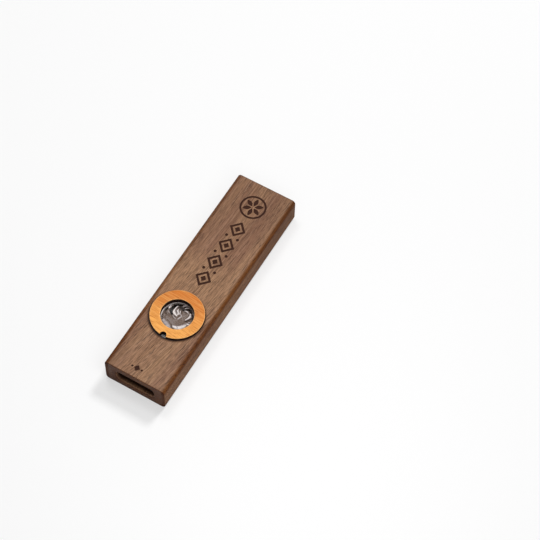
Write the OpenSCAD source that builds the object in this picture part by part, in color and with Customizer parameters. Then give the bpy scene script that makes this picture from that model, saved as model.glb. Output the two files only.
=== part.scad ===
// Wooden kazoo. Two halves of dark wood are glued together round a milled air channel.
// A clear film on a thin white ring lies in a seat in the top, and a plywood ring holds it there.
// X runs along the body from the mouth end to the open end, Y across it, and Z up from its underside.

/* [Body] */
// Length of the body
body_length = 120; // [100:1:150]
// Width of the body
body_width = 32; // [30:0.5:42]
// Height of the body, both halves together
body_height = 15; // [14:0.5:20]
// Radius of the four long edges
long_edge_radius = 2; // [1:0.25:4]
// Radius that softens the edges of the two sawn ends
end_edge_radius = 0.4; // [0.3:0.1:0.9]

/* [Air channel] */
// Width of the air channel
channel_width = 20; // [18:0.5:22]
// Height of the air channel, cut equally deep into both halves
channel_height = 7; // [5:0.5:8]
// Radius of the channel's four corners
channel_corner = 2; // [1:0.25:2.4]
// How far the channel's edges are broken at both ends
channel_flare = 0.7; // [0.3:0.1:1.2]

/* [Membrane] */
// Opening in the membrane carrier, and the sound hole below it
carrier_opening = 15; // [12:0.5:17]
// Thickness of the membrane carrier
carrier_thickness = 0.4; // [0.3:0.05:0.8]
// Radial play of the membrane carrier in its seat
carrier_play = 0.35; // [0.2:0.05:0.6]
// Thickness of the film
film_thickness = 0.1; // [0.08:0.01:0.2]
// Width of the film's glued margin on the carrier
film_margin = 1.6; // [1:0.1:3]

/* [Retaining ring] */
// Diameter of the retaining ring
ring_diameter = 25.8; // [24:0.1:27.5]
// Opening in the retaining ring
ring_opening = 15.9; // [14:0.1:18]
// Thickness of the retaining ring
ring_thickness = 3; // [2.5:0.1:3.6]
// Height of the retaining ring above the body
ring_proud = 1.15; // [0.8:0.05:2]
// Radius that softens the retaining ring's upper edges
ring_edge_radius = 0.2; // [0.1:0.05:0.4]
// Radial clearance of the retaining ring in its seat
ring_clearance = 0.1; // [0.05:0.01:0.2]
// Width of the fingernail notch in the retaining ring's rim
notch_width = 3.2; // [2:0.1:5]
// Depth of the fingernail notch, measured in from the rim
notch_depth = 2.1; // [1.6:0.1:3.5]

/* [Seat] */
// Distance of the seat's centre from the mouth end
seat_from_mouth = 37.4; // [20:0.1:80]

/* [Hidden] */

$fn = 96;
overrun = 1;

body_colour = "#8A6650";
carrier_colour = "#EFEDE8";
film_colour = [0.75, 0.75, 0.77, 0.45];
ring_colour = "#E2964A";

glue_plane = body_height / 2;
seat_x = seat_from_mouth - body_length / 2;
seat_diameter = ring_diameter + 2 * ring_clearance;
carrier_diameter = seat_diameter - 2 * carrier_play;
film_diameter = carrier_opening + 2 * film_margin;

ring_bottom = body_height + ring_proud - ring_thickness;
carrier_bottom = ring_bottom - carrier_thickness;
film_bottom = ring_bottom - film_thickness;
notch_radius = notch_width / 2;

// Rectangle with its four corners rounded, centred on the origin.
module rounded_rectangle(length, width, radius) {
    square([length, width - 2 * radius], center = true);
    square([length - 2 * radius, width], center = true);
    for (x = [-1, 1], y = [-1, 1])
        translate([x * (length / 2 - radius), y * (width / 2 - radius)])
            circle(r = radius);
}

// Round bar along X whose end edges are rounded.
module soft_ended_rod(length, radius, end_radius) {
    rotate([0, 90, 0])
        rotate_extrude()
            intersection() {
                rounded_rectangle(2 * radius, length, end_radius);
                translate([0, -length / 2])
                    square([radius, length]);
            }
}

// The body's outside: four rods are the long edges, and two crossed slabs fill between them.
module body_block() {
    translate([0, 0, body_height / 2]) {
        rotate([90, 0, 0])
            linear_extrude(body_width - 2 * long_edge_radius, center = true)
                rounded_rectangle(body_length, body_height, end_edge_radius);
        linear_extrude(body_height - 2 * long_edge_radius, center = true)
            rounded_rectangle(body_length, body_width, end_edge_radius);
        for (y = [-1, 1], z = [-1, 1])
            translate([0, y * (body_width / 2 - long_edge_radius), z * (body_height / 2 - long_edge_radius)])
                soft_ended_rod(body_length, long_edge_radius, end_edge_radius);
    }
}

// Rectangle whose edge slopes outward by the flare's width at its two ends.
module flared_outline(width) {
    half_length = body_length / 2;
    half_width = width / 2;
    slope_start = half_length - channel_flare;
    far = half_length + overrun;
    far_width = half_width + channel_flare + overrun;
    polygon([
        [-far, -far_width], [-slope_start, -half_width], [slope_start, -half_width], [far, -far_width],
        [far, far_width], [slope_start, half_width], [-slope_start, half_width], [-far, far_width]
    ]);
}

// Round rod along X that widens like a cone at its two ends.
module flared_rod(radius) {
    half_length = body_length / 2;
    slope_length = channel_flare + overrun;
    rotate([0, 90, 0]) {
        cylinder(h = body_length, r = radius, center = true);
        for (turn = [0, 180])
            rotate([turn, 0, 0])
                translate([0, 0, half_length - channel_flare])
                    cylinder(h = slope_length, r1 = radius, r2 = radius + slope_length);
    }
}

// The air that runs from end to end, with broken edges where it opens.
module air_channel() {
    translate([0, 0, glue_plane]) {
        rotate([90, 0, 0])
            linear_extrude(channel_width - 2 * channel_corner, center = true)
                flared_outline(channel_height);
        linear_extrude(channel_height - 2 * channel_corner, center = true)
            flared_outline(channel_width);
        for (y = [-1, 1], z = [-1, 1])
            translate([0, y * (channel_width / 2 - channel_corner), z * (channel_height / 2 - channel_corner)])
                flared_rod(channel_corner);
    }
}

// The round recess for the membrane and its ring, and the sound hole below it.
module membrane_seat() {
    translate([seat_x, 0, 0]) {
        translate([0, 0, carrier_bottom])
            cylinder(h = body_height - carrier_bottom + overrun, d = seat_diameter);
        translate([0, 0, glue_plane])
            cylinder(h = body_height - glue_plane, d = carrier_opening);
    }
}

// Everything above or below the glue line.
module half_space(side) {
    reach = body_length + 2 * overrun;
    translate([-reach / 2, -reach / 2, side > 0 ? glue_plane : glue_plane - reach])
        cube(reach);
}

module body_upper() {
    color(body_colour)
        difference() {
            intersection() {
                body_block();
                half_space(1);
            }
            air_channel();
            membrane_seat();
        }
}

module body_lower() {
    color(body_colour)
        difference() {
            intersection() {
                body_block();
                half_space(-1);
            }
            air_channel();
        }
}

// Thin ring with a shallow step round its opening, in which the film is glued.
module membrane_carrier() {
    color(carrier_colour)
        translate([seat_x, 0, carrier_bottom])
            difference() {
                cylinder(h = carrier_thickness, d = carrier_diameter);
                translate([0, 0, -overrun])
                    cylinder(h = carrier_thickness + 2 * overrun, d = carrier_opening);
                translate([0, 0, carrier_thickness - film_thickness])
                    cylinder(h = film_thickness + overrun, d = film_diameter);
            }
}

module membrane_film() {
    color(film_colour)
        translate([seat_x, 0, film_bottom])
            cylinder(h = film_thickness, d = film_diameter);
}

// Half of the retaining ring's section, with its two upper edges rounded.
module ring_section() {
    inner = ring_opening / 2;
    outer = ring_diameter / 2;
    soft = ring_edge_radius;
    translate([inner, 0])
        square([outer - inner, ring_thickness - soft]);
    translate([inner + soft, 0])
        square([outer - inner - 2 * soft, ring_thickness]);
    for (r = [inner + soft, outer - soft])
        translate([r, ring_thickness - soft])
            circle(r = soft);
}

module retaining_ring() {
    color(ring_colour)
        translate([seat_x, 0, ring_bottom])
            difference() {
                rotate_extrude()
                    ring_section();
                translate([notch_depth - notch_radius - ring_diameter / 2, 0, -overrun])
                    cylinder(h = ring_thickness + 2 * overrun, r = notch_radius);
            }
}

body_upper();
body_lower();
membrane_carrier();
membrane_film();
retaining_ring();
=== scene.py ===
"""The looks of a wooden kazoo: walnut body, amber plywood ring, white carrier and crinkled clear film."""
import math
from typing import NamedTuple

import bmesh
import bpy
from mathutils import Matrix, Vector, kdtree, noise


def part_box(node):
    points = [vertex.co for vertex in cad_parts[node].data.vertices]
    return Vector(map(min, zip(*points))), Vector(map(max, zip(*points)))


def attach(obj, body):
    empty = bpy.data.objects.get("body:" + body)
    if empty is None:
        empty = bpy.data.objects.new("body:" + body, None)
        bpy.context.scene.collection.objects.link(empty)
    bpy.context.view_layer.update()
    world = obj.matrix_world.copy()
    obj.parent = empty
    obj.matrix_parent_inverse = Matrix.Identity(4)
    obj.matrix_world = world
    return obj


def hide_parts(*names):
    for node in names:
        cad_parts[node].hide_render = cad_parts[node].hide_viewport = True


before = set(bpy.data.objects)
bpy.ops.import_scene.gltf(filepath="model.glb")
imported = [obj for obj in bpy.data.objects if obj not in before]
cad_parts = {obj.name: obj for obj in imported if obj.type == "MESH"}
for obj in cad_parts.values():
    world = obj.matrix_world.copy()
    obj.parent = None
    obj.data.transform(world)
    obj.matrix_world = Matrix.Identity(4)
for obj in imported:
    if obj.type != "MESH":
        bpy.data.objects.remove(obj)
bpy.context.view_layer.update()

# The scene is in metres. Sizes and places on the kazoo are in millimetres.
MM = 0.001


def node_box(name):
    """Lowest and highest corner of a CAD node, in millimetres."""
    low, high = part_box(name)
    return low / MM, high / MM


# Places that the frame gives
BODY_LOW, BODY_HIGH = node_box("body_upper")
CARRIER_LOW, CARRIER_HIGH = node_box("membrane_carrier")
FILM_LOW, FILM_HIGH = node_box("membrane_film")
RING_LOW, RING_HIGH = node_box("retaining_ring")
HALF_LENGTH = BODY_HIGH.x
HALF_WIDTH = BODY_HIGH.y
TOP_Z = BODY_HIGH.z
GLUE_Z = BODY_LOW.z
SEAT_X = (CARRIER_LOW.x + CARRIER_HIGH.x) / 2

# The seat is this much wider all round than the ring in it
SEAT_PLAY = 0.1
SEAT_RADIUS = RING_HIGH.y + SEAT_PLAY

# Camera: the photograph's view, for a 540 by 540 picture, with its place in metres
PICTURE_PX = 540
FOCAL_PX = 1641.2
SENSOR_MM = 36
CAMERA_PLACE = Vector((-0.3261, -0.2109, 0.6804))
CAMERA_AZIMUTH = math.radians(-151.738)
CAMERA_ELEVATION = math.radians(59.404)
CAMERA_ROLL = math.radians(-2.198)
CAMERA_NEAREST = 0.01
CAMERA_FARTHEST = 20

# Each lamp's name, place, target and size in metres, and its power in watts
LAMPS = (
    ("main", (0.88, -0.14, 1.2), (-0.02, 0, 0), 0.3, 13.4),
    ("near", (-0.1, -0.13, 0.22), (-0.06, 0, 0), 0.14, 0.16),
    ("sheen", (0.15, 0.19, 0.7), (-0.04, 0, 0), 0.2, 1.4))

# Strength of the even light on the object, where 1 is the white backdrop that the camera sees
AMBIENT = 0.24
WHITE = (1, 1, 1, 1)

# Floor: its half side in metres, how far it lies below the underside, its own tone and roughness, and the
# share of its whiteness to the camera that doesn't depend on the light
FLOOR_HALF = 3.0
FLOOR_DROP = 0.05
FLOOR_TONE = (0.86, 0.86, 0.86, 1)
FLOOR_ROUGHNESS = 0.9
FLOOR_WHITE = 0.5


def srgb(red, green, blue):
    """Linear colour of three 8-bit screen values."""
    def linear(value):
        share = value / 255
        return share / 12.92 if share <= 0.04045 else ((share + 0.055) / 1.055) ** 2.4
    return (linear(red), linear(green), linear(blue), 1)


def plug(tree, socket, value):
    """Links a socket to an output, or sets it to a value."""
    if isinstance(value, bpy.types.NodeSocket):
        tree.links.new(value, socket)
    else:
        socket.default_value = value


def node(tree, kind, inputs=None, **settings):
    """Adds a node, sets its properties, which decide what inputs it has, and fills or links those."""
    made = tree.nodes.new(kind)
    for name, value in settings.items():
        setattr(made, name, value)
    for name, value in (inputs or {}).items():
        plug(tree, made.inputs[name], value)
    return made


def calc(tree, operation, *values):
    """Output of a math node."""
    return node(tree, "ShaderNodeMath", dict(enumerate(values)), operation=operation).outputs[0]


def product(tree, first, *others):
    """Output of several values multiplied in turn."""
    for other in others:
        first = calc(tree, "MULTIPLY", first, other)
    return first


def largest(tree, first, *others):
    """Output of the largest of several values."""
    for other in others:
        first = calc(tree, "MAXIMUM", first, other)
    return first


def distance(tree, first, second):
    """Length of a line from its two parts, which are at right angles."""
    squares = calc(tree, "ADD", product(tree, first, first), product(tree, second, second))
    return calc(tree, "SQRT", squares)


def span(tree, value, low, high, to_low=0.0, to_high=1.0):
    """Output of a smooth, clamped change of range."""
    limits = dict(enumerate((value, low, high, to_low, to_high)))
    return node(tree, "ShaderNodeMapRange", limits, interpolation_type="SMOOTHSTEP").outputs[0]


def within(tree, value, low, high, soft):
    """Mask of a range of values with soft ends."""
    return product(tree, span(tree, value, low - soft, low + soft),
                   span(tree, value, high - soft, high + soft, 1, 0))


def blend_colours(tree, share, first, second, mode="MIX"):
    """Output of a mix node, whose colours are its inputs 6 and 7 and its output 2."""
    inputs = {0: share, 6: first, 7: second}
    return node(tree, "ShaderNodeMix", inputs, data_type="RGBA", blend_type=mode).outputs[2]


def coated(tree, colour, *coats):
    """A colour under several coats, each a share, a tone and, where it isn't plain mixing, a mode."""
    for share, *tone_and_mode in coats:
        colour = blend_colours(tree, share, colour, *tone_and_mode)
    return colour


def empty_material(name):
    """A material without nodes, and its tree."""
    material = bpy.data.materials.new(name)
    material.use_nodes = True
    material.node_tree.nodes.clear()
    return material, material.node_tree


def new_material(name):
    """A material with a lone Principled shader, and its tree and shader."""
    material, tree = empty_material(name)
    shader = node(tree, "ShaderNodeBsdfPrincipled")
    node(tree, "ShaderNodeOutputMaterial", {"Surface": shader.outputs[0]})
    return material, tree, shader


def finish(tree, shader, colour, roughness, gloss):
    """Sets a surface's colour, its roughness and how strongly it reflects."""
    plug(tree, shader.inputs["Base Color"], colour)
    plug(tree, shader.inputs["Roughness"], roughness)
    shader.inputs["Specular IOR Level"].default_value = gloss


def emboss(tree, shader, height, strength, depth):
    """Gives a surface a relief whose full height is a depth in millimetres."""
    bump = node(tree, "ShaderNodeBump", {"Height": height, "Strength": strength, "Distance": depth * MM})
    plug(tree, shader.inputs["Normal"], bump.outputs[0])


def place_in_mm(tree):
    """X, Y and Z of the surface point in the row frame, in millimetres."""
    place = node(tree, "ShaderNodeTexCoord").outputs["Object"]
    scaled = node(tree, "ShaderNodeVectorMath", {0: place, "Scale": 1 / MM}, operation="SCALE")
    return tuple(node(tree, "ShaderNodeSeparateXYZ", {0: scaled.outputs[0]}).outputs)


def from_seat_centre(tree, x, y):
    """Distance in millimetres from the seat's upright centre line."""
    return distance(tree, calc(tree, "SUBTRACT", x, SEAT_X), y)


class Grain(NamedTuple):
    """A pattern with features of about that length and width in millimetres."""
    length: float
    width: float
    seed: int
    detail: float = 2.0
    roughness: float = 0.5


# How many of its own lengths and widths each step of a seed moves a pattern along X, Y and Z
SEED_SHIFT = (3.7, 5.3, 7.9)

# A ramp runs from one value of its input to another, and from one result to another.
# Dashes: a cell's size over the dash's, and the distance from the cell's point at which the dash fades out
DASH_CELL = 1.9
DASH_RAMP = (0.18, 0.32, 1, 0)


def stretched(tree, place, length, width, seed):
    """The place divided by a length and width in millimetres, and moved by a seed."""
    parts = [calc(tree, "MULTIPLY_ADD", part, 1 / size, shift * seed)
             for part, size, shift in zip(place, (length, width, width), SEED_SHIFT)]
    return node(tree, "ShaderNodeCombineXYZ", dict(enumerate(parts))).outputs[0]


def streaks(tree, place, grain, first_seed=0):
    """Smooth noise with a grain's features."""
    made = node(tree, "ShaderNodeTexNoise", {
        "Vector": stretched(tree, place, grain.length, grain.width, first_seed + grain.seed),
        "Scale": 1.0, "Detail": grain.detail, "Roughness": grain.roughness})
    return made.outputs["Fac"]


def dashes(tree, place, grain, first_seed):
    """Mask of separate spindles of a grain's size."""
    cells = stretched(tree, place, DASH_CELL * grain.length, DASH_CELL * grain.width, first_seed + grain.seed)
    made = node(tree, "ShaderNodeTexVoronoi", {"Vector": cells, "Scale": 1.0})
    return span(tree, made.outputs["Distance"], *DASH_RAMP)


# Walnut: tones, and tints that are multiplied with what is below
WALNUT_BASE = srgb(140, 101, 77)
WALNUT_DARK = srgb(97, 64, 43)
WALNUT_LIGHT = srgb(166, 127, 94)
WALNUT_SHEEN = srgb(170, 134, 106)
WALNUT_PORE = srgb(52, 30, 19)
# Painted shade inside the channel and on the seat's wall
WALNUT_INSIDE_SHADE = srgb(36, 16, 7)
# Tint of the long edges and sides: partly their own darker tone, partly painted shade
EDGE_SHADE_TINT = (0.46, 0.26, 0.06, 1)
END_TINT = (0.42, 0.29, 0.2, 1)

# Walnut: the grain slants near the mouth end and runs straight at the far end
GRAIN_BEND_PER_MM = 0.00081
UPPER_SLANT = 1.0
LOWER_SLANT = -0.5
UPPER_SEED = 1
LOWER_SEED = 21

# Walnut: years' rings round a pith that lay outside the body
PITH_Y = -26
PITH_Z = -60
YEAR_WIDTH = 4.2
YEAR_WAVES = Grain(45, 9, 0)
YEAR_WAVE_REACH = 1.6
LATE_POWER = 3.0
LATE_SHARE = 0.25

# Walnut: bands, threads and fibres, and how their noise brings in a tone
BANDS = Grain(90, 7, 1)
BAND_RAMP = (0.32, 0.68)
THREADS = Grain(55, 0.7, 9, detail=3, roughness=0.55)
THREAD_SHEEN_RAMP = (0.52, 0.66, 0, 0.45)
THREAD_DARK_RAMP = (0.34, 0.47, 0.42, 0)
FIBRES = Grain(22, 0.26, 2)
FIBRE_RAMP = (0.5, 0.64, 0, 0.3)
FINE_FIBRES = Grain(3.5, 0.14, 3, roughness=0.6)
FINE_FIBRE_RAMP = (0.4, 0.66, 0, 0.45)

# Walnut: open pores, which crowd in some bands and are weaker towards the far end
LARGE_PORES = (Grain(5.6, 0.21, 5), Grain(4.0, 0.18, 8))
SMALL_PORES = (Grain(2.8, 0.16, 6), Grain(2.0, 0.14, 7))
SMALL_PORE_DEPTH = 0.75
PORE_CROWDS = Grain(30, 2.5, 4, detail=1)
CROWD_RAMP = (0.3, 0.6, 0.6, 1)
PORE_ALONG_RAMP = (-15, 30, 1, 0.85)
PORE_SHARE = 0.92

# Walnut: a paler stretch beyond the ring, painted shade that darkens the wood towards the far end, and at the
# mouth end painted shade on the +Y side and a painted sheen on the -Y side
PALE_START = -16
PALE_END = 10
PALE_SOFT = 9
PALE_SHARE = 0.95
FAR_SHADE_RAMP = (-15, 60, 0, 0.42)
MOUTH_RAMP = (-56, -36, 1, 0)
MOUTH_SHADE_RAMP = (-4, 14, 0, 0.25)
MOUTH_SHEEN_RAMP = (-14, 0, 0.25, 0)

# Walnut: darker long edges and sides, partly their own darker tone and partly painted shade, a little wider
# on the +Y side, where the painted shade is lighter towards the far end
EDGE_SHIFT = 0.35
EDGE_ACROSS_RAMP = (HALF_WIDTH - 2.7, HALF_WIDTH - 0.8, 0, 0.97)
EDGE_FROM_SEAM_RAMP = (3.6, 5.6, 0.5, 1)
EDGE_FADE_ALONG_RAMP = (-45, 0, 0, 0.35)
EDGE_FADE_ACROSS_RAMP = (0, 10)

# Walnut: darker sawn ends, and the glue line at mid height
END_RAMP = (HALF_LENGTH - 0.6, HALF_LENGTH - 0.1)
SEAM_RAMP = (0.04, 0.12, 0.6, 0)

# Walnut: the space of the air channel and the seat, whose walls get painted shade
CHANNEL_HALF_WIDTH = 10.9
CHANNEL_LOW = 3.2
CHANNEL_HIGH = 11.9
CHANNEL_SOFT = 0.2
CHANNEL_END = HALF_LENGTH - 1.4
CHANNEL_END_SOFT = 1.0
SEAT_WALL_SHADE_RAMP = (SEAT_RADIUS, SEAT_RADIUS + 0.25, 1, 0)
INSIDE_SHADE_SHARE = 0.95

# Walnut: the scorch round the seat and the ring's painted shadow, which makes it wider on the mouth side. Its
# powers for red, green and blue turn its margin brown.
SCORCH_AND_SHADOW_RAMP = (SEAT_RADIUS - 0.2, SEAT_RADIUS + 1.3, 0.04, 1)
SEAT_SHADOW_DRIFT = 0.035
SCORCH_AND_SHADOW_POWERS = (1, 1.25, 1.6)

# Walnut: gloss and relief
WALNUT_ROUGHNESS_RAMP = (0.3, 0.7, 0.4, 0.52)
EDGE_ROUGHENING = 1.5
EDGE_ROUGHNESS = 0.75
WALNUT_GLOSS = 0.14
FINE_FIBRE_HEIGHT = 0.3
WALNUT_RELIEF = 0.5
WALNUT_RELIEF_DEPTH = 0.06


def grain_place(tree, place, slant):
    """The place, bent across the body so that the grain slants more and more towards the mouth end."""
    x, y, z = place
    from_far_end = calc(tree, "SUBTRACT", HALF_LENGTH, x)
    bend = product(tree, from_far_end, from_far_end, -GRAIN_BEND_PER_MM * slant)
    return x, calc(tree, "ADD", y, bend), z


def late_wood(tree, place, seed):
    """Mask of the late wood, which grows towards the end of each year's ring."""
    _, across, up = place
    reach = distance(tree, calc(tree, "SUBTRACT", across, PITH_Y), calc(tree, "SUBTRACT", up, PITH_Z))
    wave = product(tree, streaks(tree, place, YEAR_WAVES, seed), YEAR_WAVE_REACH)
    season = calc(tree, "FRACT", calc(tree, "MULTIPLY_ADD", reach, 1 / YEAR_WIDTH, wave))
    return calc(tree, "POWER", season, LATE_POWER)


def pore_mask(tree, place, seed):
    """Mask of the open pores."""
    large = largest(tree, *[dashes(tree, place, pore, seed) for pore in LARGE_PORES])
    small = largest(tree, *[dashes(tree, place, pore, seed) for pore in SMALL_PORES])
    pores = largest(tree, large, product(tree, small, SMALL_PORE_DEPTH))
    crowd = span(tree, streaks(tree, place, PORE_CROWDS, seed), *CROWD_RAMP)
    return product(tree, pores, crowd, span(tree, place[0], *PORE_ALONG_RAMP))


def walnut_tone(tree, place, y, seed):
    """Colour of the wood before its fibres and pores, with painted shade towards the far end and on the mouth
    end's +Y side, and a painted sheen on its -Y side.
    """
    x = place[0]
    bands = span(tree, streaks(tree, place, BANDS, seed), *BAND_RAMP)
    pale = product(tree, within(tree, x, PALE_START, PALE_END, PALE_SOFT), PALE_SHARE)
    late = product(tree, late_wood(tree, place, seed), LATE_SHARE)
    mouth = span(tree, x, *MOUTH_RAMP)
    return coated(
        tree, WALNUT_BASE,
        (largest(tree, bands, pale), WALNUT_LIGHT),
        # Late wood with painted shade towards the far end, then painted shade on the mouth end's +Y side and
        # a painted sheen on its -Y side
        (largest(tree, late, span(tree, x, *FAR_SHADE_RAMP)), WALNUT_DARK),
        (product(tree, mouth, span(tree, y, *MOUTH_SHADE_RAMP)), WALNUT_DARK),
        (product(tree, mouth, span(tree, y, *MOUTH_SHEEN_RAMP)), WALNUT_SHEEN))


def edge_shade_mask(tree, x, y, from_seam):
    """Mask of the darker long edges and sides, partly their own tone and partly painted shade."""
    off_middle = calc(tree, "ABSOLUTE", calc(tree, "ADD", y, EDGE_SHIFT))
    across = span(tree, off_middle, *EDGE_ACROSS_RAMP)
    upright = span(tree, from_seam, *EDGE_FROM_SEAM_RAMP)
    fading = product(tree, span(tree, x, *EDGE_FADE_ALONG_RAMP), span(tree, y, *EDGE_FADE_ACROSS_RAMP))
    return product(tree, across, upright, calc(tree, "SUBTRACT", 1.0, fading))


def inside_shade_mask(tree, x, y, z):
    """Mask of the painted shade on the walls of the air channel, the seat and the sound hole."""
    channel = product(
        tree,
        within(tree, x, -CHANNEL_END, CHANNEL_END, CHANNEL_END_SOFT),
        within(tree, y, -CHANNEL_HALF_WIDTH, CHANNEL_HALF_WIDTH, CHANNEL_SOFT),
        within(tree, z, CHANNEL_LOW, CHANNEL_HIGH, CHANNEL_SOFT))
    return largest(tree, channel, span(tree, from_seat_centre(tree, x, y), *SEAT_WALL_SHADE_RAMP))


def scorch_and_shadow_tint(tree, x, y):
    """Tint of the wood round the seat, from nearly black at its rim to none: scorch, and the ring's painted
    shadow, which reaches further towards the mouth end.
    """
    towards_far_end = calc(tree, "SUBTRACT", x, SEAT_X)
    drifted = calc(tree, "MULTIPLY_ADD", towards_far_end, SEAT_SHADOW_DRIFT, from_seat_centre(tree, x, y))
    light = span(tree, drifted, *SCORCH_AND_SHADOW_RAMP)
    channels = [calc(tree, "POWER", light, power) for power in SCORCH_AND_SHADOW_POWERS]
    return node(tree, "ShaderNodeCombineColor", dict(enumerate(channels))).outputs[0]


def walnut(name, seed, slant):
    """Oiled walnut with growth bands, fibres and open pores along the length."""
    material, tree, shader = new_material(name)
    x, y, z = place_in_mm(tree)
    place = grain_place(tree, (x, y, z), slant)
    threads = streaks(tree, place, THREADS, seed)
    fibres = streaks(tree, place, FIBRES, seed)
    fine = streaks(tree, place, FINE_FIBRES, seed)
    pores = pore_mask(tree, place, seed)
    from_seam = calc(tree, "ABSOLUTE", calc(tree, "SUBTRACT", z, GLUE_Z))
    edge = edge_shade_mask(tree, x, y, from_seam)
    colour = coated(
        tree, walnut_tone(tree, place, y, seed),
        (span(tree, threads, *THREAD_SHEEN_RAMP), WALNUT_SHEEN),
        (span(tree, threads, *THREAD_DARK_RAMP), WALNUT_DARK),
        (span(tree, fibres, *FIBRE_RAMP), WALNUT_DARK),
        (span(tree, fine, *FINE_FIBRE_RAMP), WALNUT_DARK),
        (product(tree, pores, PORE_SHARE), WALNUT_PORE),
        # Darker long edges and sides: partly their own tone, partly painted shade
        (edge, EDGE_SHADE_TINT, "MULTIPLY"),
        (span(tree, calc(tree, "ABSOLUTE", x), *END_RAMP), END_TINT, "MULTIPLY"),
        (span(tree, from_seam, *SEAM_RAMP), WALNUT_PORE),
        # Scorch round the seat, and the ring's painted shadow on the mouth side
        (1.0, scorch_and_shadow_tint(tree, x, y), "MULTIPLY"),
        # Painted shade on the walls of the channel and the seat
        (product(tree, inside_shade_mask(tree, x, y, z), INSIDE_SHADE_SHARE), WALNUT_INSIDE_SHADE))

    rough = largest(tree, span(tree, fibres, *WALNUT_ROUGHNESS_RAMP), product(tree, edge, EDGE_ROUGHENING))
    finish(tree, shader, colour, calc(tree, "MINIMUM", rough, EDGE_ROUGHNESS), WALNUT_GLOSS)
    height = calc(tree, "SUBTRACT", product(tree, fine, FINE_FIBRE_HEIGHT), pores)
    emboss(tree, shader, height, WALNUT_RELIEF, WALNUT_RELIEF_DEPTH)
    return material


# Burnt ornament
BURN_LIGHT = srgb(62, 33, 20)
BURN_DARK = srgb(36, 18, 10)
BURN_FIBRES = Grain(5, 0.35, 50, detail=3, roughness=0.6)
BURN_ROUGHNESS = 0.8
BURN_GLOSS = 0.15
BURN_RELIEF = 0.6
BURN_RELIEF_DEPTH = 0.08


def burnt_walnut():
    """Floor and walls of the burnt ornament."""
    material, tree, shader = new_material("burnt_walnut")
    fibres = streaks(tree, place_in_mm(tree), BURN_FIBRES)
    colour = blend_colours(tree, fibres, BURN_DARK, BURN_LIGHT)
    finish(tree, shader, colour, BURN_ROUGHNESS, BURN_GLOSS)
    emboss(tree, shader, fibres, BURN_RELIEF, BURN_RELIEF_DEPTH)
    return material


# Plywood: tones of its face, and of its burnt walls
# The near and far face tones are lit and shaded copies of one amber: painted light
AMBER_NEAR_LIT = srgb(236, 165, 78)
AMBER_FAR_SHADED = srgb(200, 114, 36)
AMBER_LIGHT = srgb(250, 187, 106)
AMBER_DARK = srgb(168, 90, 24)
AMBER_RIM_HIGHLIGHT = srgb(252, 205, 140)
BURNT = srgb(22, 9, 4)
BURNT_PLY = srgb(44, 18, 7)

# Plywood: its face grain runs across the body, turned by this slope
AMBER_SLOPE = -0.06
PLY_BANDS = Grain(14, 0.7, 20, detail=3)
PLY_BAND_RAMP = (0.41, 0.66, 0, 0.34)
PLY_FIBRES = Grain(5, 0.26, 21, detail=3, roughness=0.6)
PLY_FIBRE_RAMP = (0.43, 0.68, 0, 0.7)
PLY_SPOTS = Grain(3.2, 0.9, 24)
PLY_SPOT_RAMP = (0.56, 0.74, 0, 0.45)

# Plywood: painted light from the lit near tone to the shaded far tone, made patchy by random tone and
# drifting towards the +Y side
PLY_PATCHES = Grain(5, 3, 22)
PLY_PATCH_REACH = 6.0
PLY_SHADE_DRIFT = 0.1
PLY_SHADE_RAMP = (SEAT_X - 8, SEAT_X + 13)

# Plywood: painted highlights along the rims of the face
RING_OUTER = RING_HIGH.y
RING_INNER = 7.95
RIM_HIGHLIGHT = 0.5
RIM_HIGHLIGHT_WIDTH = 0.4
OUTER_HIGHLIGHT_RAMP = (RING_OUTER - RIM_HIGHLIGHT_WIDTH, RING_OUTER, 0, RIM_HIGHLIGHT)
INNER_HIGHLIGHT_RAMP = (RING_INNER, RING_INNER + RIM_HIGHLIGHT_WIDTH, RIM_HIGHLIGHT, 0)

# Plywood: burnt walls with three plies, which start at a ragged line just below the face
PLY_COUNT = 3
PLY_WALL_RAMP = (-0.3, 0.3, 0, 0.6)
PLY_SCORCH = Grain(0.8, 0.8, 23, detail=1)
PLY_SCORCH_REACH = 0.06
CLEAN_RAMP = (0.16, 0.21, 1, 0)

# Plywood: gloss and relief
PLY_ROUGHNESS_RAMP = (0, 1, 0.8, 0.45)
PLY_GLOSS = 0.15
PLY_RELIEF = 0.3
PLY_RELIEF_DEPTH = 0.03


def ply_face(tree, x, y, place, fibres):
    """Colour of the ring's face, with painted light from the near to the far end and painted highlights on
    its rims.
    """
    drifted = calc(tree, "MULTIPLY_ADD", y, PLY_SHADE_DRIFT, x)
    patchy = calc(tree, "MULTIPLY_ADD", streaks(tree, place, PLY_PATCHES), PLY_PATCH_REACH, drifted)
    out = from_seat_centre(tree, x, y)
    # Mask of the painted highlights along the rims
    rims = largest(tree, span(tree, out, *OUTER_HIGHLIGHT_RAMP), span(tree, out, *INNER_HIGHLIGHT_RAMP))
    return coated(
        tree, AMBER_NEAR_LIT,
        # Painted light: shaded towards the far end and the +Y side
        (span(tree, patchy, *PLY_SHADE_RAMP), AMBER_FAR_SHADED),
        (span(tree, streaks(tree, place, PLY_BANDS), *PLY_BAND_RAMP), AMBER_LIGHT),
        (span(tree, fibres, *PLY_FIBRE_RAMP), AMBER_DARK),
        # Painted highlights along the rims
        (rims, AMBER_RIM_HIGHLIGHT),
        (span(tree, streaks(tree, place, PLY_SPOTS), *PLY_SPOT_RAMP), AMBER_DARK))


def ply_wall(tree, z):
    """Colour of the ring's burnt walls, whose middle ply is darkest."""
    ply_thickness = (RING_HIGH.z - RING_LOW.z) / PLY_COUNT
    turn = product(tree, calc(tree, "SUBTRACT", z, RING_LOW.z), math.pi / ply_thickness)
    return blend_colours(tree, span(tree, calc(tree, "SINE", turn), *PLY_WALL_RAMP), BURNT, BURNT_PLY)


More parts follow.
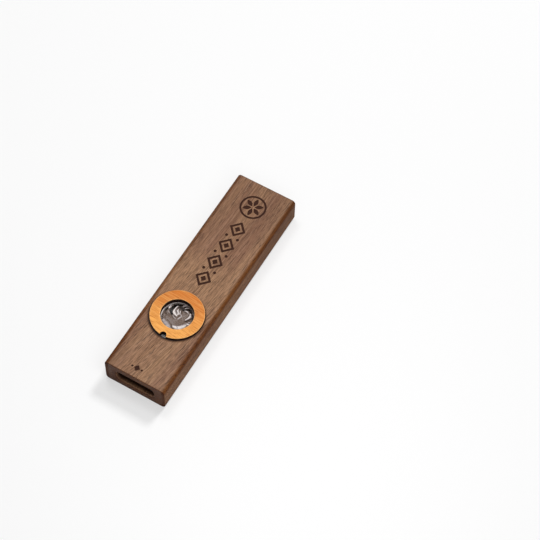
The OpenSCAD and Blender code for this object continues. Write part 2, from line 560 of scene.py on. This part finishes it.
def plywood():
    """Amber lacquered ply with its face grain across the body, and burnt walls that show the plies."""
    material, tree, shader = new_material("amber_plywood")
    x, y, z = place_in_mm(tree)
    place = (y, calc(tree, "MULTIPLY_ADD", y, AMBER_SLOPE, x), z)
    fibres = streaks(tree, place, PLY_FIBRES)
    depth = calc(tree, "SUBTRACT", RING_HIGH.z, z)
    ragged = calc(tree, "MULTIPLY_ADD", streaks(tree, place, PLY_SCORCH), PLY_SCORCH_REACH, depth)
    clean = span(tree, ragged, *CLEAN_RAMP)
    colour = blend_colours(tree, clean, ply_wall(tree, z), ply_face(tree, x, y, place, fibres))
    finish(tree, shader, colour, span(tree, clean, *PLY_ROUGHNESS_RAMP), PLY_GLOSS)
    emboss(tree, shader, fibres, PLY_RELIEF, PLY_RELIEF_DEPTH)
    return material


# Carrier: plain matt white sheet, painted light grey as painted shade
SHEET_DARK = srgb(178, 179, 181)
SHEET_LIGHT = srgb(198, 199, 200)
SHEET_MOTTLE = Grain(1.2, 1.2, 30, detail=3)
SHEET_ROUGHNESS_RAMP = (0.3, 0.7, 0.45, 0.6)
SHEET_GLOSS = 0.5


def white_sheet():
    """Plain matt white sheet of the carrier, painted light grey as painted shade."""
    material, tree, shader = new_material("carrier_sheet")
    mottle = streaks(tree, place_in_mm(tree), SHEET_MOTTLE)
    colour = blend_colours(tree, mottle, SHEET_DARK, SHEET_LIGHT)
    finish(tree, shader, colour, span(tree, mottle, *SHEET_ROUGHNESS_RAMP), SHEET_GLOSS)
    return material


# Film: its colour at each painted tone, from painted shade through brown-grey to milky white with painted
# highlights, and its haze, gloss and see-through range
FILM_TONES = (
    (0.0, srgb(12, 10, 10)),
    (0.45, srgb(124, 105, 94)),
    (0.7, srgb(186, 177, 178)),
    (1.0, srgb(244, 236, 232)))
FILM_HAZE = Grain(1.1, 1.1, 40, detail=3)
FILM_HAZE_MIDDLE = 0.5
FILM_HAZE_SHARE = 0.08
FILM_ALPHA_RAMP = (0, 1, 0.5, 0.85)
FILM_ROUGHNESS = 0.2
FILM_GLOSS = 0.1


def clear_film():
    """Thin glossy film whose tone is painted: clearer and dark as painted shade, and milky with painted
    highlights along its bright folds.
    """
    material, tree, shader = new_material("crinkled_film")
    haze = calc(tree, "SUBTRACT", streaks(tree, place_in_mm(tree), FILM_HAZE), FILM_HAZE_MIDDLE)
    # The film's painted tone: painted shade, milky whitening and painted highlights
    fold_milk_and_glint = node(tree, "ShaderNodeAttribute", attribute_name="fold_milk_and_glint").outputs["Fac"]
    milk_and_glint = calc(tree, "MULTIPLY_ADD", haze, FILM_HAZE_SHARE, fold_milk_and_glint)
    tones = node(tree, "ShaderNodeValToRGB", {"Fac": milk_and_glint})
    elements = tones.color_ramp.elements
    for position, _ in FILM_TONES[1:-1]:
        elements.new(position)
    for element, (_, tone) in zip(elements, FILM_TONES):
        element.color = tone
    finish(tree, shader, tones.outputs["Color"], FILM_ROUGHNESS, FILM_GLOSS)
    plug(tree, shader.inputs["Alpha"], span(tree, milk_and_glint, *FILM_ALPHA_RAMP))
    return material


# Film: a thin shell of rings and spokes, cut as a disc of that diameter, in metres, before it was gathered
FILM_RADIUS = (FILM_HIGH.x - FILM_LOW.x) / 2
FILM_LEVEL = (FILM_LOW.z + FILM_HIGH.z) / 2
FILM_RINGS = 100
FILM_SPOKES = 260
FILM_SHELL = 0.03

# Film: free inside the carrier's opening and flat outside it, with folds that are whole within a radius
FREE_RADIUS = 7.5
WHOLE_RADIUS = 6.7

# Film: it rises to a shoulder inside the opening, and sags by less than that in its middle
SHOULDER = 0.2
SHOULDER_RADIUS = 5.2
SAG = 0.1

# Film: tone where it is smooth, and in the glued margin a painted highlight at the upper left that gives way
# to painted shade to the right and below
SMOOTH_TONE = 0.45
RIM_START = 7.4
RIM_FULL = 7.65
MARGIN_HIGHLIGHT_TONE = 0.96
MARGIN_SHADING = 0.45
MARGIN_SHADE_RIGHT = (-0.5, 6)
MARGIN_SHADE_BELOW = (2, -1)

# Film: broad and small unevenness, each with its changes per millimetre and its layer of the noise
BROAD = (0.3, 1.7)
SMALL = (0.9, 5.2)
BROAD_TONE = 0.06
SMALL_TONE = 0.05
BROAD_RISE = 0.08

# Film: folds rise with their tone, are slim at their tips, and fade out between two shares of their width
FOLD_UP = math.radians(28)
FOLD_RISE = 0.3
FOLD_SHIFT = 0.12
FOLD_TIP = 0.45
FOLD_OUTSIDE = 1.7
FOLD_INSIDE = 0.3
CURVE_STEPS = 16

# Film: fine pleats towards the margin, and how far the unevenness bends them
PLEATS = 19
PLEAT_START = 4.6
PLEAT_FULL = 6.8
PLEAT_BROAD_BEND = 3
PLEAT_SMALL_BEND = 2
PLEAT_RISE = 0.02
PLEAT_TONE = 0.04

# Each fold is a groove or ridge: its tone, its half width, and points to the right of the centre and above
# it. A tone near 0 is painted shade, and one near 1 is milky whitening with painted highlights.
FOLDS = (
    # Smooth lower part
    (0.5, 0.9, ((-4.8, 0.3), (-2.8, -2.2), (-1.8, -3.8))),
    (0.68, 0.85, ((-6.9, -1.0), (-5.6, -2.8), (-4.2, -4.4), (-3.2, -5.8))),
    (0.95, 0.85, ((-2.0, -4.9), (-0.4, -5.5), (1.2, -5.6), (2.8, -5.0), (3.9, -4.3))),
    (0.3, 0.25, ((-2.9, -3.8), (-2.4, -4.8), (-1.9, -6.0))),
    (0.6, 0.12, ((-0.9, -4.4), (-0.1, -5.1), (0.6, -5.9))),
    (0.62, 0.25, ((2.5, -4.1), (4.1, -3.5))),
    (0.9, 0.38, ((4.5, -3.4), (5.2, -3.7), (5.7, -3.8))),
    (0.7, 0.25, ((5.1, -2.6), (6.1, -2.8))),
    # Left side
    (0.1, 0.25, ((-7.2, 1.6), (-7.3, 0.2), (-7.0, -1.2))),
    (0.95, 0.65, ((-4.2, 4.8), (-3.6, 5.6), (-2.8, 6.2), (-1.8, 6.7))),
    (0.7, 0.3, ((-5.8, 4.9), (-5.0, 5.7), (-4.0, 6.3))),
    (0.3, 0.55, ((-6.1, 3.0), (-5.5, 2.0), (-4.9, 1.2))),
    (0.05, 0.6, ((-5.9, 3.3), (-5.4, 4.2), (-4.8, 4.9))),
    (0.6, 0.22, ((-4.6, 3.7), (-4.2, 2.7), (-3.6, 1.8))),
    (0.18, 0.2, ((-4.1, 4.1), (-3.7, 3.1), (-3.2, 2.1), (-2.7, 1.2))),
    (0.6, 0.18, ((-3.7, 3.9), (-3.3, 2.8), (-2.8, 1.7), (-2.2, 0.7))),
    # Dark arch over the knot, painted shade
    (0.3, 0.2, ((-2.6, 1.1), (-2.2, 0.2), (-1.3, -0.9))),
    (0.0, 0.95, ((-2.7, 1.5), (-3.1, 3.0), (-2.8, 4.5), (-1.9, 5.7), (-0.7, 6.4), (0.7, 6.5), (2.0, 6.3))),
    # Right side
    (0.66, 0.4, ((1.9, 5.3), (2.6, 5.9), (3.4, 6.3), (4.2, 5.8))),
    (0.08, 0.5, ((1.4, 4.3), (2.3, 3.9), (3.3, 4.0))),
    (0.2, 0.25, ((2.3, 3.1), (3.3, 2.8), (4.3, 2.2))),
    (0.0, 0.55, ((1.9, 3.9), (2.7, 4.3), (3.4, 5.2), (4.4, 5.6))),
    (0.0, 0.55, ((3.0, 3.8), (4.3, 4.1), (5.4, 3.9), (6.0, 3.2), (6.3, 2.4))),
    (0.8, 0.25, ((3.0, 4.4), (3.9, 4.9), (4.7, 5.0))),
    (0.84, 0.28, ((3.3, 3.4), (4.2, 3.1), (5.1, 2.3))),
    (0.35, 0.3, ((5.2, 1.7), (5.0, 0.5), (4.2, -0.3))),
    (0.85, 0.45, ((6.0, 2.0), (5.9, 1.1), (5.7, 0.3), (4.9, -0.6), (3.7, -1.4))),
    (0.12, 0.36, ((6.7, -0.4), (5.7, -1.2), (4.5, -1.9), (3.3, -2.4))),
    (0.1, 0.28, ((7.1, 1.8), (7.2, 0.6), (7.0, -0.8))),
    # Knot of nested folds
    (0.2, 0.35, ((0.9, 3.8), (1.4, 3.0), (1.6, 2.0))),
    (0.12, 0.7, ((-0.2, 5.2), (0.8, 4.9), (1.6, 4.3))),
    (0.6, 0.22, ((-0.1, 5.7), (0.8, 5.7), (1.4, 5.2), (1.7, 4.7))),
    (0.68, 0.3, ((1.8, 5.8), (2.1, 5.1), (2.6, 5.0))),
    (0.7, 0.22, ((-2.2, 1.1), (-1.9, 0.2), (-1.2, -0.5), (-0.6, -0.9))),
    (0.78, 0.26, ((1.2, 1.6), (1.8, 0.7), (1.2, -0.1), (0.5, -0.8), (0.1, -1.1))),
    (0.78, 0.26, ((-0.4, 5.5), (-1.1, 4.9), (-1.6, 4.1))),
    (0.7, 0.8, ((-0.6, 3.6), (-0.4, 2.8), (0.0, 2.0))),
    (0.88, 0.26, ((-0.1, 5.9), (-0.8, 5.2), (-1.3, 4.4))),
    (1.0, 0.46, ((-1.2, 4.6), (-1.7, 3.6), (-2.0, 2.7), (-1.5, 1.9), (-0.9, 1.2), (-0.3, 0.6))),
    (0.95, 0.3, ((0.4, 4.3), (0.0, 3.5), (0.1, 2.7), (0.2, 1.9), (-0.2, 1.0))),
    (0.82, 0.3, ((1.1, 3.4), (1.1, 2.6), (0.9, 1.9), (0.4, 1.3))),
    (0.3, 0.22, ((-1.7, 1.0), (-1.2, 0.3), (-0.7, -0.3))),
    (0.3, 0.2, ((1.0, 1.2), (0.6, 0.5), (0.0, -0.2))),
    (0.06, 0.55, ((0.7, 5.7), (1.6, 5.2), (2.4, 4.5), (3.2, 4.0))),
    (0.2, 0.22, ((-0.9, 4.2), (-0.9, 3.3), (-0.5, 2.5), (-0.2, 2.0))),
    (0.4, 0.16, ((0.6, 3.6), (0.6, 2.8), (0.5, 2.2))))


def smooth_step(value, low, high):
    """Smooth step from 0 to 1, or from 1 to 0 where low is above high."""
    share = min(max((value - low) / (high - low), 0), 1)
    return share * share * (3 - 2 * share)


def curve_through(places):
    """Closely spaced points of a smooth curve through the given ones."""
    ends = [Vector(place) for place in (places[0], *places, places[-1])]
    made = []
    for before, start, end, after in zip(ends, ends[1:], ends[2:], ends[3:]):
        for count in range(CURVE_STEPS):
            t = count / CURVE_STEPS
            bend = (2 * before - 5 * start + 4 * end - after) * t * t
            twist = (3 * start - before - 3 * end + after) * t * t * t
            made.append((2 * start + (end - before) * t + bend + twist) / 2)
    return made + [ends[-1]]


def fold_trees():
    """Tone, half width, count of points and search tree of each fold."""
    made = []
    for tone, half_width, places in FOLDS:
        curve = curve_through(places)
        tree = kdtree.KDTree(len(curve))
        for index, place in enumerate(curve):
            tree.insert((place.x, place.y, 0), index)
        tree.balance()
        made.append((tone, half_width, len(curve), tree))
    return made


def unevenness(right, up, scale, layer):
    """Smooth random value, from about -1 to 1, that is the same on each run."""
    return noise.noise(Vector((right * scale, up * scale, layer)))


def margin_highlight_and_shade(right, up):
    """Tone of the glued margin: a painted highlight at its upper left, and painted shade to the right and
    below.
    """
    clear = max(smooth_step(right, *MARGIN_SHADE_RIGHT), smooth_step(up, *MARGIN_SHADE_BELOW))
    return MARGIN_HIGHLIGHT_TONE - MARGIN_SHADING * clear


def free_tone(right, up, broad, small, folds):
    """Painted tone of the free film, which each fold in turn draws to its own tone."""
    milk_and_glint = SMOOTH_TONE + BROAD_TONE * broad + SMALL_TONE * small
    for tone, half_width, count, tree in folds:
        _, index, away = tree.find((right + FOLD_SHIFT * small, up + FOLD_SHIFT * broad, 0))
        width = half_width * (FOLD_TIP + (1 - FOLD_TIP) * math.sin(math.pi * index / (count - 1)))
        milk_and_glint += (tone - milk_and_glint) * smooth_step(away, FOLD_OUTSIDE * width, FOLD_INSIDE * width)
    return milk_and_glint


def film_shape(x, y, folds):
    """Height in millimetres and painted tone of the film at a place from its centre."""
    right = x * math.sin(FOLD_UP) - y * math.cos(FOLD_UP)
    up = x * math.cos(FOLD_UP) + y * math.sin(FOLD_UP)
    radius = math.hypot(right, up)
    if radius >= FREE_RADIUS:
        return 0, margin_highlight_and_shade(right, up)
    broad = unevenness(right, up, *BROAD)
    small = unevenness(right, up, *SMALL)
    milk_and_glint = free_tone(right, up, broad, small, folds)
    # Near the margin the tone goes over to its painted highlight and painted shade
    milk_and_glint += (margin_highlight_and_shade(right, up) - milk_and_glint) * smooth_step(radius, RIM_START, RIM_FULL)

    around = PLEATS * math.atan2(up, right) + PLEAT_BROAD_BEND * broad + PLEAT_SMALL_BEND * small
    pleat = math.cos(around) * smooth_step(radius, PLEAT_START, PLEAT_FULL)
    shoulder = SHOULDER * smooth_step(radius, FREE_RADIUS, SHOULDER_RADIUS)
    sag = SAG * (1 - (radius / FREE_RADIUS) ** 2)
    relief = FOLD_RISE * (milk_and_glint - SMOOTH_TONE) + PLEAT_RISE * pleat + BROAD_RISE * broad
    height = shoulder - sag + relief * smooth_step(radius, FREE_RADIUS, WHOLE_RADIUS)
    return height, min(max(milk_and_glint + PLEAT_TONE * pleat, 0), 1)


def film_rings():
    """Rings of film points from the centre outward, each with its X, Y, height and painted tone."""
    folds = fold_trees()
    rings = []
    for ring in range(FILM_RINGS + 1):
        radius = FILM_RADIUS * ring / FILM_RINGS
        turns = [2 * math.pi * spoke / FILM_SPOKES for spoke in range(FILM_SPOKES if ring else 1)]
        places = [(radius * math.cos(turn), radius * math.sin(turn)) for turn in turns]
        rings.append([(x, y, *film_shape(x, y, folds)) for x, y in places])
    return rings


def add_strip(mesh, inner, outer, side=1):
    """Adds the faces between two closed loops of points, or between one point and a loop."""
    count = len(outer)
    for number in range(count):
        after = (number + 1) % count
        corners = [inner[0], outer[number], outer[after]]
        if len(inner) > 1:
            corners = [inner[number], outer[number], outer[after], inner[after]]
        mesh.faces.new(corners[::side])


def film_mesh():
    """Closed thin shell: the film's upper and lower face, joined round the rim."""
    rings = film_rings()
    mesh = bmesh.new()
    # Each point keeps the film's painted tone: painted shade, milky whitening and painted highlights
    fold_milk_and_glint = mesh.verts.layers.float.new("fold_milk_and_glint")
    rims = []
    for side in (1, -1):
        inner = []
        for ring in rings:
            outer = []
            for x, y, height, milk_and_glint in ring:
                z = FILM_LEVEL + height + side * FILM_SHELL / 2
                point = mesh.verts.new(((SEAT_X + x) * MM, y * MM, z * MM))
                point[fold_milk_and_glint] = milk_and_glint
                outer.append(point)
            if inner:
                add_strip(mesh, inner, outer, side)
            inner = outer
        rims.append(inner)
    add_strip(mesh, *rims)
    return mesh


def add_object(name, data):
    """A new object in the scene."""
    made = bpy.data.objects.new(name, data)
    bpy.context.scene.collection.objects.link(made)
    return made


def mesh_data(name, mesh):
    """Mesh data made from a bmesh, which is freed."""
    data = bpy.data.meshes.new(name)
    mesh.to_mesh(data)
    mesh.free()
    return data


def make_film():
    """The gathered film that stands for the flat one."""
    film = add_object("crinkled_film", mesh_data("film", film_mesh()))
    film.data.shade_smooth()
    film.data.materials.append(clear_film())
    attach(film, "membrane")
    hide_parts("membrane_film")


# Burnt ornament, all cut this deep: a chain of lozenges with dots beside it
BURN_DEPTH = 0.2
CHAIN_START = 0.5
CHAIN_PITCH = 10.5
CHAIN_COUNT = 4
LOZENGE_OUTER = (4.6, 4.3)
LOZENGE_INNER = (3.0, 2.8)
LOZENGE_HEART = (1.7, 1.5)
CHAIN_DOT_Y = 3.01
CHAIN_DOT_RADIUS = 0.75
DOT_POINTS = 32

# Burnt ornament: a rosette of leaves in a round line
ROSETTE_X = 46.5
ROSETTE_RADIUS = 6.6
ROSETTE_LINE = 1.0
ROSETTE_POINTS = 64
LEAF_COUNT = 6
LEAF_WIDTH = 2.1
LEAF_START = 0.7
LEAF_END = ROSETTE_RADIUS - ROSETTE_LINE - 0.4
LEAF_STEPS = 16

# Burnt ornament: a small mark by the mouth end
MARK_X = -55.2
MARK_Y = 1.3
MARK_DOT_Y = 2.5
MARK_DOT_RADIUS = 0.525


def lozenge(x, y, half):
    """Corners of a lozenge with its long axis along X."""
    return [(x + half[0], y), (x, y + half[1]), (x - half[0], y), (x, y - half[1])]


def disc(x, y, radius, count=DOT_POINTS):
    """Points of a circle."""
    turns = [2 * math.pi * number / count for number in range(count)]
    return [(x + radius * math.cos(turn), y + radius * math.sin(turn)) for turn in turns]


def leaf(angle):
    """Points of a leaf of the rosette, out along one side and back along the other."""
    points = []
    for number in range(2 * LEAF_STEPS):
        step_out = LEAF_STEPS - abs(LEAF_STEPS - number)
        out = LEAF_START + (LEAF_END - LEAF_START) * step_out / LEAF_STEPS
        off = LEAF_WIDTH / 2 * math.sin(math.pi * number / LEAF_STEPS)
        points.append((ROSETTE_X + out * math.cos(angle) - off * math.sin(angle),
                       out * math.sin(angle) + off * math.cos(angle)))
    return points


def ornament_outlines():
    """Outline of each burnt shape, with the outline of its hole after it where it has one."""
    shapes = []
    for number in range(CHAIN_COUNT):
        x = CHAIN_START + number * CHAIN_PITCH
        shapes.append((lozenge(x, 0, LOZENGE_OUTER), lozenge(x, 0, LOZENGE_INNER)))
        shapes.append((lozenge(x, 0, LOZENGE_HEART),))
        if number < CHAIN_COUNT - 1:
            for side in (1, -1):
                shapes.append((disc(x + CHAIN_PITCH / 2, side * CHAIN_DOT_Y, CHAIN_DOT_RADIUS),))
    shapes.append((disc(ROSETTE_X, 0, ROSETTE_RADIUS, ROSETTE_POINTS),
                   disc(ROSETTE_X, 0, ROSETTE_RADIUS - ROSETTE_LINE, ROSETTE_POINTS)))
    for number in range(LEAF_COUNT):
        shapes.append((leaf(2 * math.pi * number / LEAF_COUNT),))
    shapes.append((lozenge(MARK_X, MARK_Y, LOZENGE_HEART),))
    for side in (1, -1):
        shapes.append((disc(MARK_X, MARK_Y + side * MARK_DOT_Y, MARK_DOT_RADIUS),))
    return shapes


def add_prism(mesh, outlines):
    """Adds an upright prism from the burn's floor to above the top, whose second outline is its hole."""
    bottom = []
    top = []
    for outline in outlines:
        for loops, z in ((bottom, TOP_Z - BURN_DEPTH), (top, TOP_Z + BURN_DEPTH)):
            loops.append([mesh.verts.new((x * MM, y * MM, z * MM)) for x, y in outline])
        add_strip(mesh, bottom[-1], top[-1])
    for loops in (bottom, top):
        if len(loops) > 1:
            add_strip(mesh, *loops)
        else:
            mesh.faces.new(loops[0])


def ornament_cutter():
    """All the burnt shapes as one cutting object, with every face turned outward."""
    mesh = bmesh.new()
    for outlines in ornament_outlines():
        add_prism(mesh, outlines)
    bmesh.ops.recalc_face_normals(mesh, faces=mesh.faces)
    return add_object("ornament_cutter", mesh_data("ornament_cutter", mesh))


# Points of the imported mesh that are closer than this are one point
WELD_DISTANCE = 0.001

# A burnt face lies below the top by more than this share of the burn's depth, and at most that share past
# its floor. It is clear of the seat, the ends and the rounded long edges by these margins.
BURN_TOLERANCE = 0.01
SEAT_MARGIN = 0.3
END_MARGIN = 0.5
SIDE_MARGIN = 2.1

# A face is level or upright where the largest part of its normal is above this
FLAT_NORMAL = 0.99999

# An edge whose faces meet at a wider angle is sharp
SHARP_ANGLE = math.radians(30)


def is_burnt(x, y, z):
    """Whether the face centred there is a floor or wall of the burnt ornament."""
    below_top = BURN_DEPTH * BURN_TOLERANCE < TOP_Z - z < BURN_DEPTH * (1 + BURN_TOLERANCE)
    off_seat = math.hypot(x - SEAT_X, y) > SEAT_RADIUS + SEAT_MARGIN
    on_flat = abs(x) < HALF_LENGTH - END_MARGIN and abs(y) < HALF_WIDTH - SIDE_MARGIN
    return below_top and off_seat and on_flat


def weld(data):
    """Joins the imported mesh's triangles at their corners."""
    mesh = bmesh.new()
    mesh.from_mesh(data)
    bmesh.ops.remove_doubles(mesh, verts=mesh.verts, dist=WELD_DISTANCE * MM)
    mesh.to_mesh(data)
    mesh.free()


def cut_ornament(piece):
    """Cuts the ornament into a piece's mesh."""
    cutter = ornament_cutter()
    cut = piece.modifiers.new("cut", "BOOLEAN")
    cut.operation = "DIFFERENCE"
    cut.solver = "EXACT"
    cut.object = cutter
    data = bpy.data.meshes.new_from_object(piece.evaluated_get(bpy.context.evaluated_depsgraph_get()))
    piece.modifiers.clear()
    piece.data = data
    bpy.data.objects.remove(cutter)


def keep_flats_flat(data):
    """Marks the edges round level and upright faces sharp, so that only rounded edges shade smoothly."""
    mesh = bmesh.new()
    mesh.from_mesh(data)
    for edge in mesh.edges:
        if len(edge.link_faces) == 2:
            flat = [max(abs(part) for part in face.normal) > FLAT_NORMAL for face in edge.link_faces]
            edge.smooth = edge.calc_face_angle() < SHARP_ANGLE and flat[0] == flat[1]
    mesh.to_mesh(data)
    mesh.free()
    data.shade_smooth()


def make_upper_body(wood, burnt):
    """The body's upper half with the burnt ornament cut into its top."""
    piece = add_object("ornamented_upper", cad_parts["body_upper"].data.copy())
    weld(piece.data)
    cut_ornament(piece)
    piece.data.materials.clear()
    for material in (wood, burnt):
        piece.data.materials.append(material)
    for face in piece.data.polygons:
        face.material_index = 1 if is_burnt(*face.center / MM) else 0
    keep_flats_flat(piece.data)
    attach(piece, "body")
    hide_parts("body_upper")


def dress(name, material):
    """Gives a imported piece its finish."""
    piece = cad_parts[name]
    piece.data.materials.clear()
    piece.data.materials.append(material)


def make_camera():
    """Camera at the photograph's place and angle."""
    data = bpy.data.cameras.new("camera")
    data.sensor_width = SENSOR_MM
    data.lens = FOCAL_PX / PICTURE_PX * SENSOR_MM
    data.clip_start = CAMERA_NEAREST
    data.clip_end = CAMERA_FARTHEST
    back = Vector((
        math.cos(CAMERA_AZIMUTH) * math.cos(CAMERA_ELEVATION),
        math.sin(CAMERA_AZIMUTH) * math.cos(CAMERA_ELEVATION),
        math.sin(CAMERA_ELEVATION)))
    level_right = Vector((0, 0, 1)).cross(back).normalized()
    level_up = back.cross(level_right)
    turn = Matrix((level_right, level_up, back)).transposed() @ Matrix.Rotation(-CAMERA_ROLL, 3, "Z")
    camera = add_object("camera", data)
    camera.matrix_world = Matrix.Translation(CAMERA_PLACE) @ turn.to_4x4()
    bpy.context.scene.camera = camera


def make_light(name, place, target, size, watts):
    """Square soft light that faces its target."""
    data = bpy.data.lights.new(name, "AREA")
    data.size = size
    data.energy = watts
    lamp = add_object(name, data)
    lamp.location = place
    lamp.rotation_mode = "QUATERNION"
    lamp.rotation_quaternion = (Vector(place) - Vector(target)).to_track_quat("Z", "Y")
    lamp.visible_camera = False


def make_world():
    """White backdrop for the camera and reflections, and dimmer even light on the object."""
    world = bpy.data.worlds.new("world")
    bpy.context.scene.world = world
    world.use_nodes = True
    tree = world.node_tree
    tree.nodes.clear()
    path = node(tree, "ShaderNodeLightPath").outputs
    seen = largest(tree, path["Is Camera Ray"], path["Is Glossy Ray"], path["Is Transmission Ray"])
    ambient = node(tree, "ShaderNodeBackground", {"Color": WHITE, "Strength": AMBIENT})
    backdrop = node(tree, "ShaderNodeBackground", {"Color": WHITE, "Strength": 1.0})
    mixed = node(tree, "ShaderNodeMixShader", {0: seen, 1: ambient.outputs[0], 2: backdrop.outputs[0]})
    node(tree, "ShaderNodeOutputWorld", {"Surface": mixed.outputs[0]})


def pale_floor():
    """Matt floor whose whiteness to the camera is partly its own."""
    material, tree = empty_material("floor")
    matt = node(tree, "ShaderNodeBsdfPrincipled", {"Base Color": FLOOR_TONE, "Roughness": FLOOR_ROUGHNESS})
    white = node(tree, "ShaderNodeEmission", {"Color": WHITE, "Strength": 1.0})
    share = product(tree, node(tree, "ShaderNodeLightPath").outputs["Is Camera Ray"], FLOOR_WHITE)
    mixed = node(tree, "ShaderNodeMixShader", {0: share, 1: matt.outputs[0], 2: white.outputs[0]})
    node(tree, "ShaderNodeOutputMaterial", {"Surface": mixed.outputs[0]})
    return material


def make_floor():
    """Plain pale floor just below the underside."""
    corners = [(x * FLOOR_HALF, y * FLOOR_HALF, -FLOOR_DROP * MM)
               for x, y in ((-1, -1), (1, -1), (1, 1), (-1, 1))]
    data = bpy.data.meshes.new("floor")
    data.from_pydata(corners, [], [(0, 1, 2, 3)])
    floor = add_object("floor", data)
    floor.data.materials.append(pale_floor())


def main():
    """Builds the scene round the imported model."""
    bpy.context.scene.view_settings.view_transform = "Standard"
    make_camera()
    make_world()
    make_floor()
    for lamp in LAMPS:
        make_light(*lamp)
    make_upper_body(walnut("walnut_upper", UPPER_SEED, UPPER_SLANT), burnt_walnut())
    dress("body_lower", walnut("walnut_lower", LOWER_SEED, LOWER_SLANT))
    dress("retaining_ring", plywood())
    dress("membrane_carrier", white_sheet())
    make_film()


main()
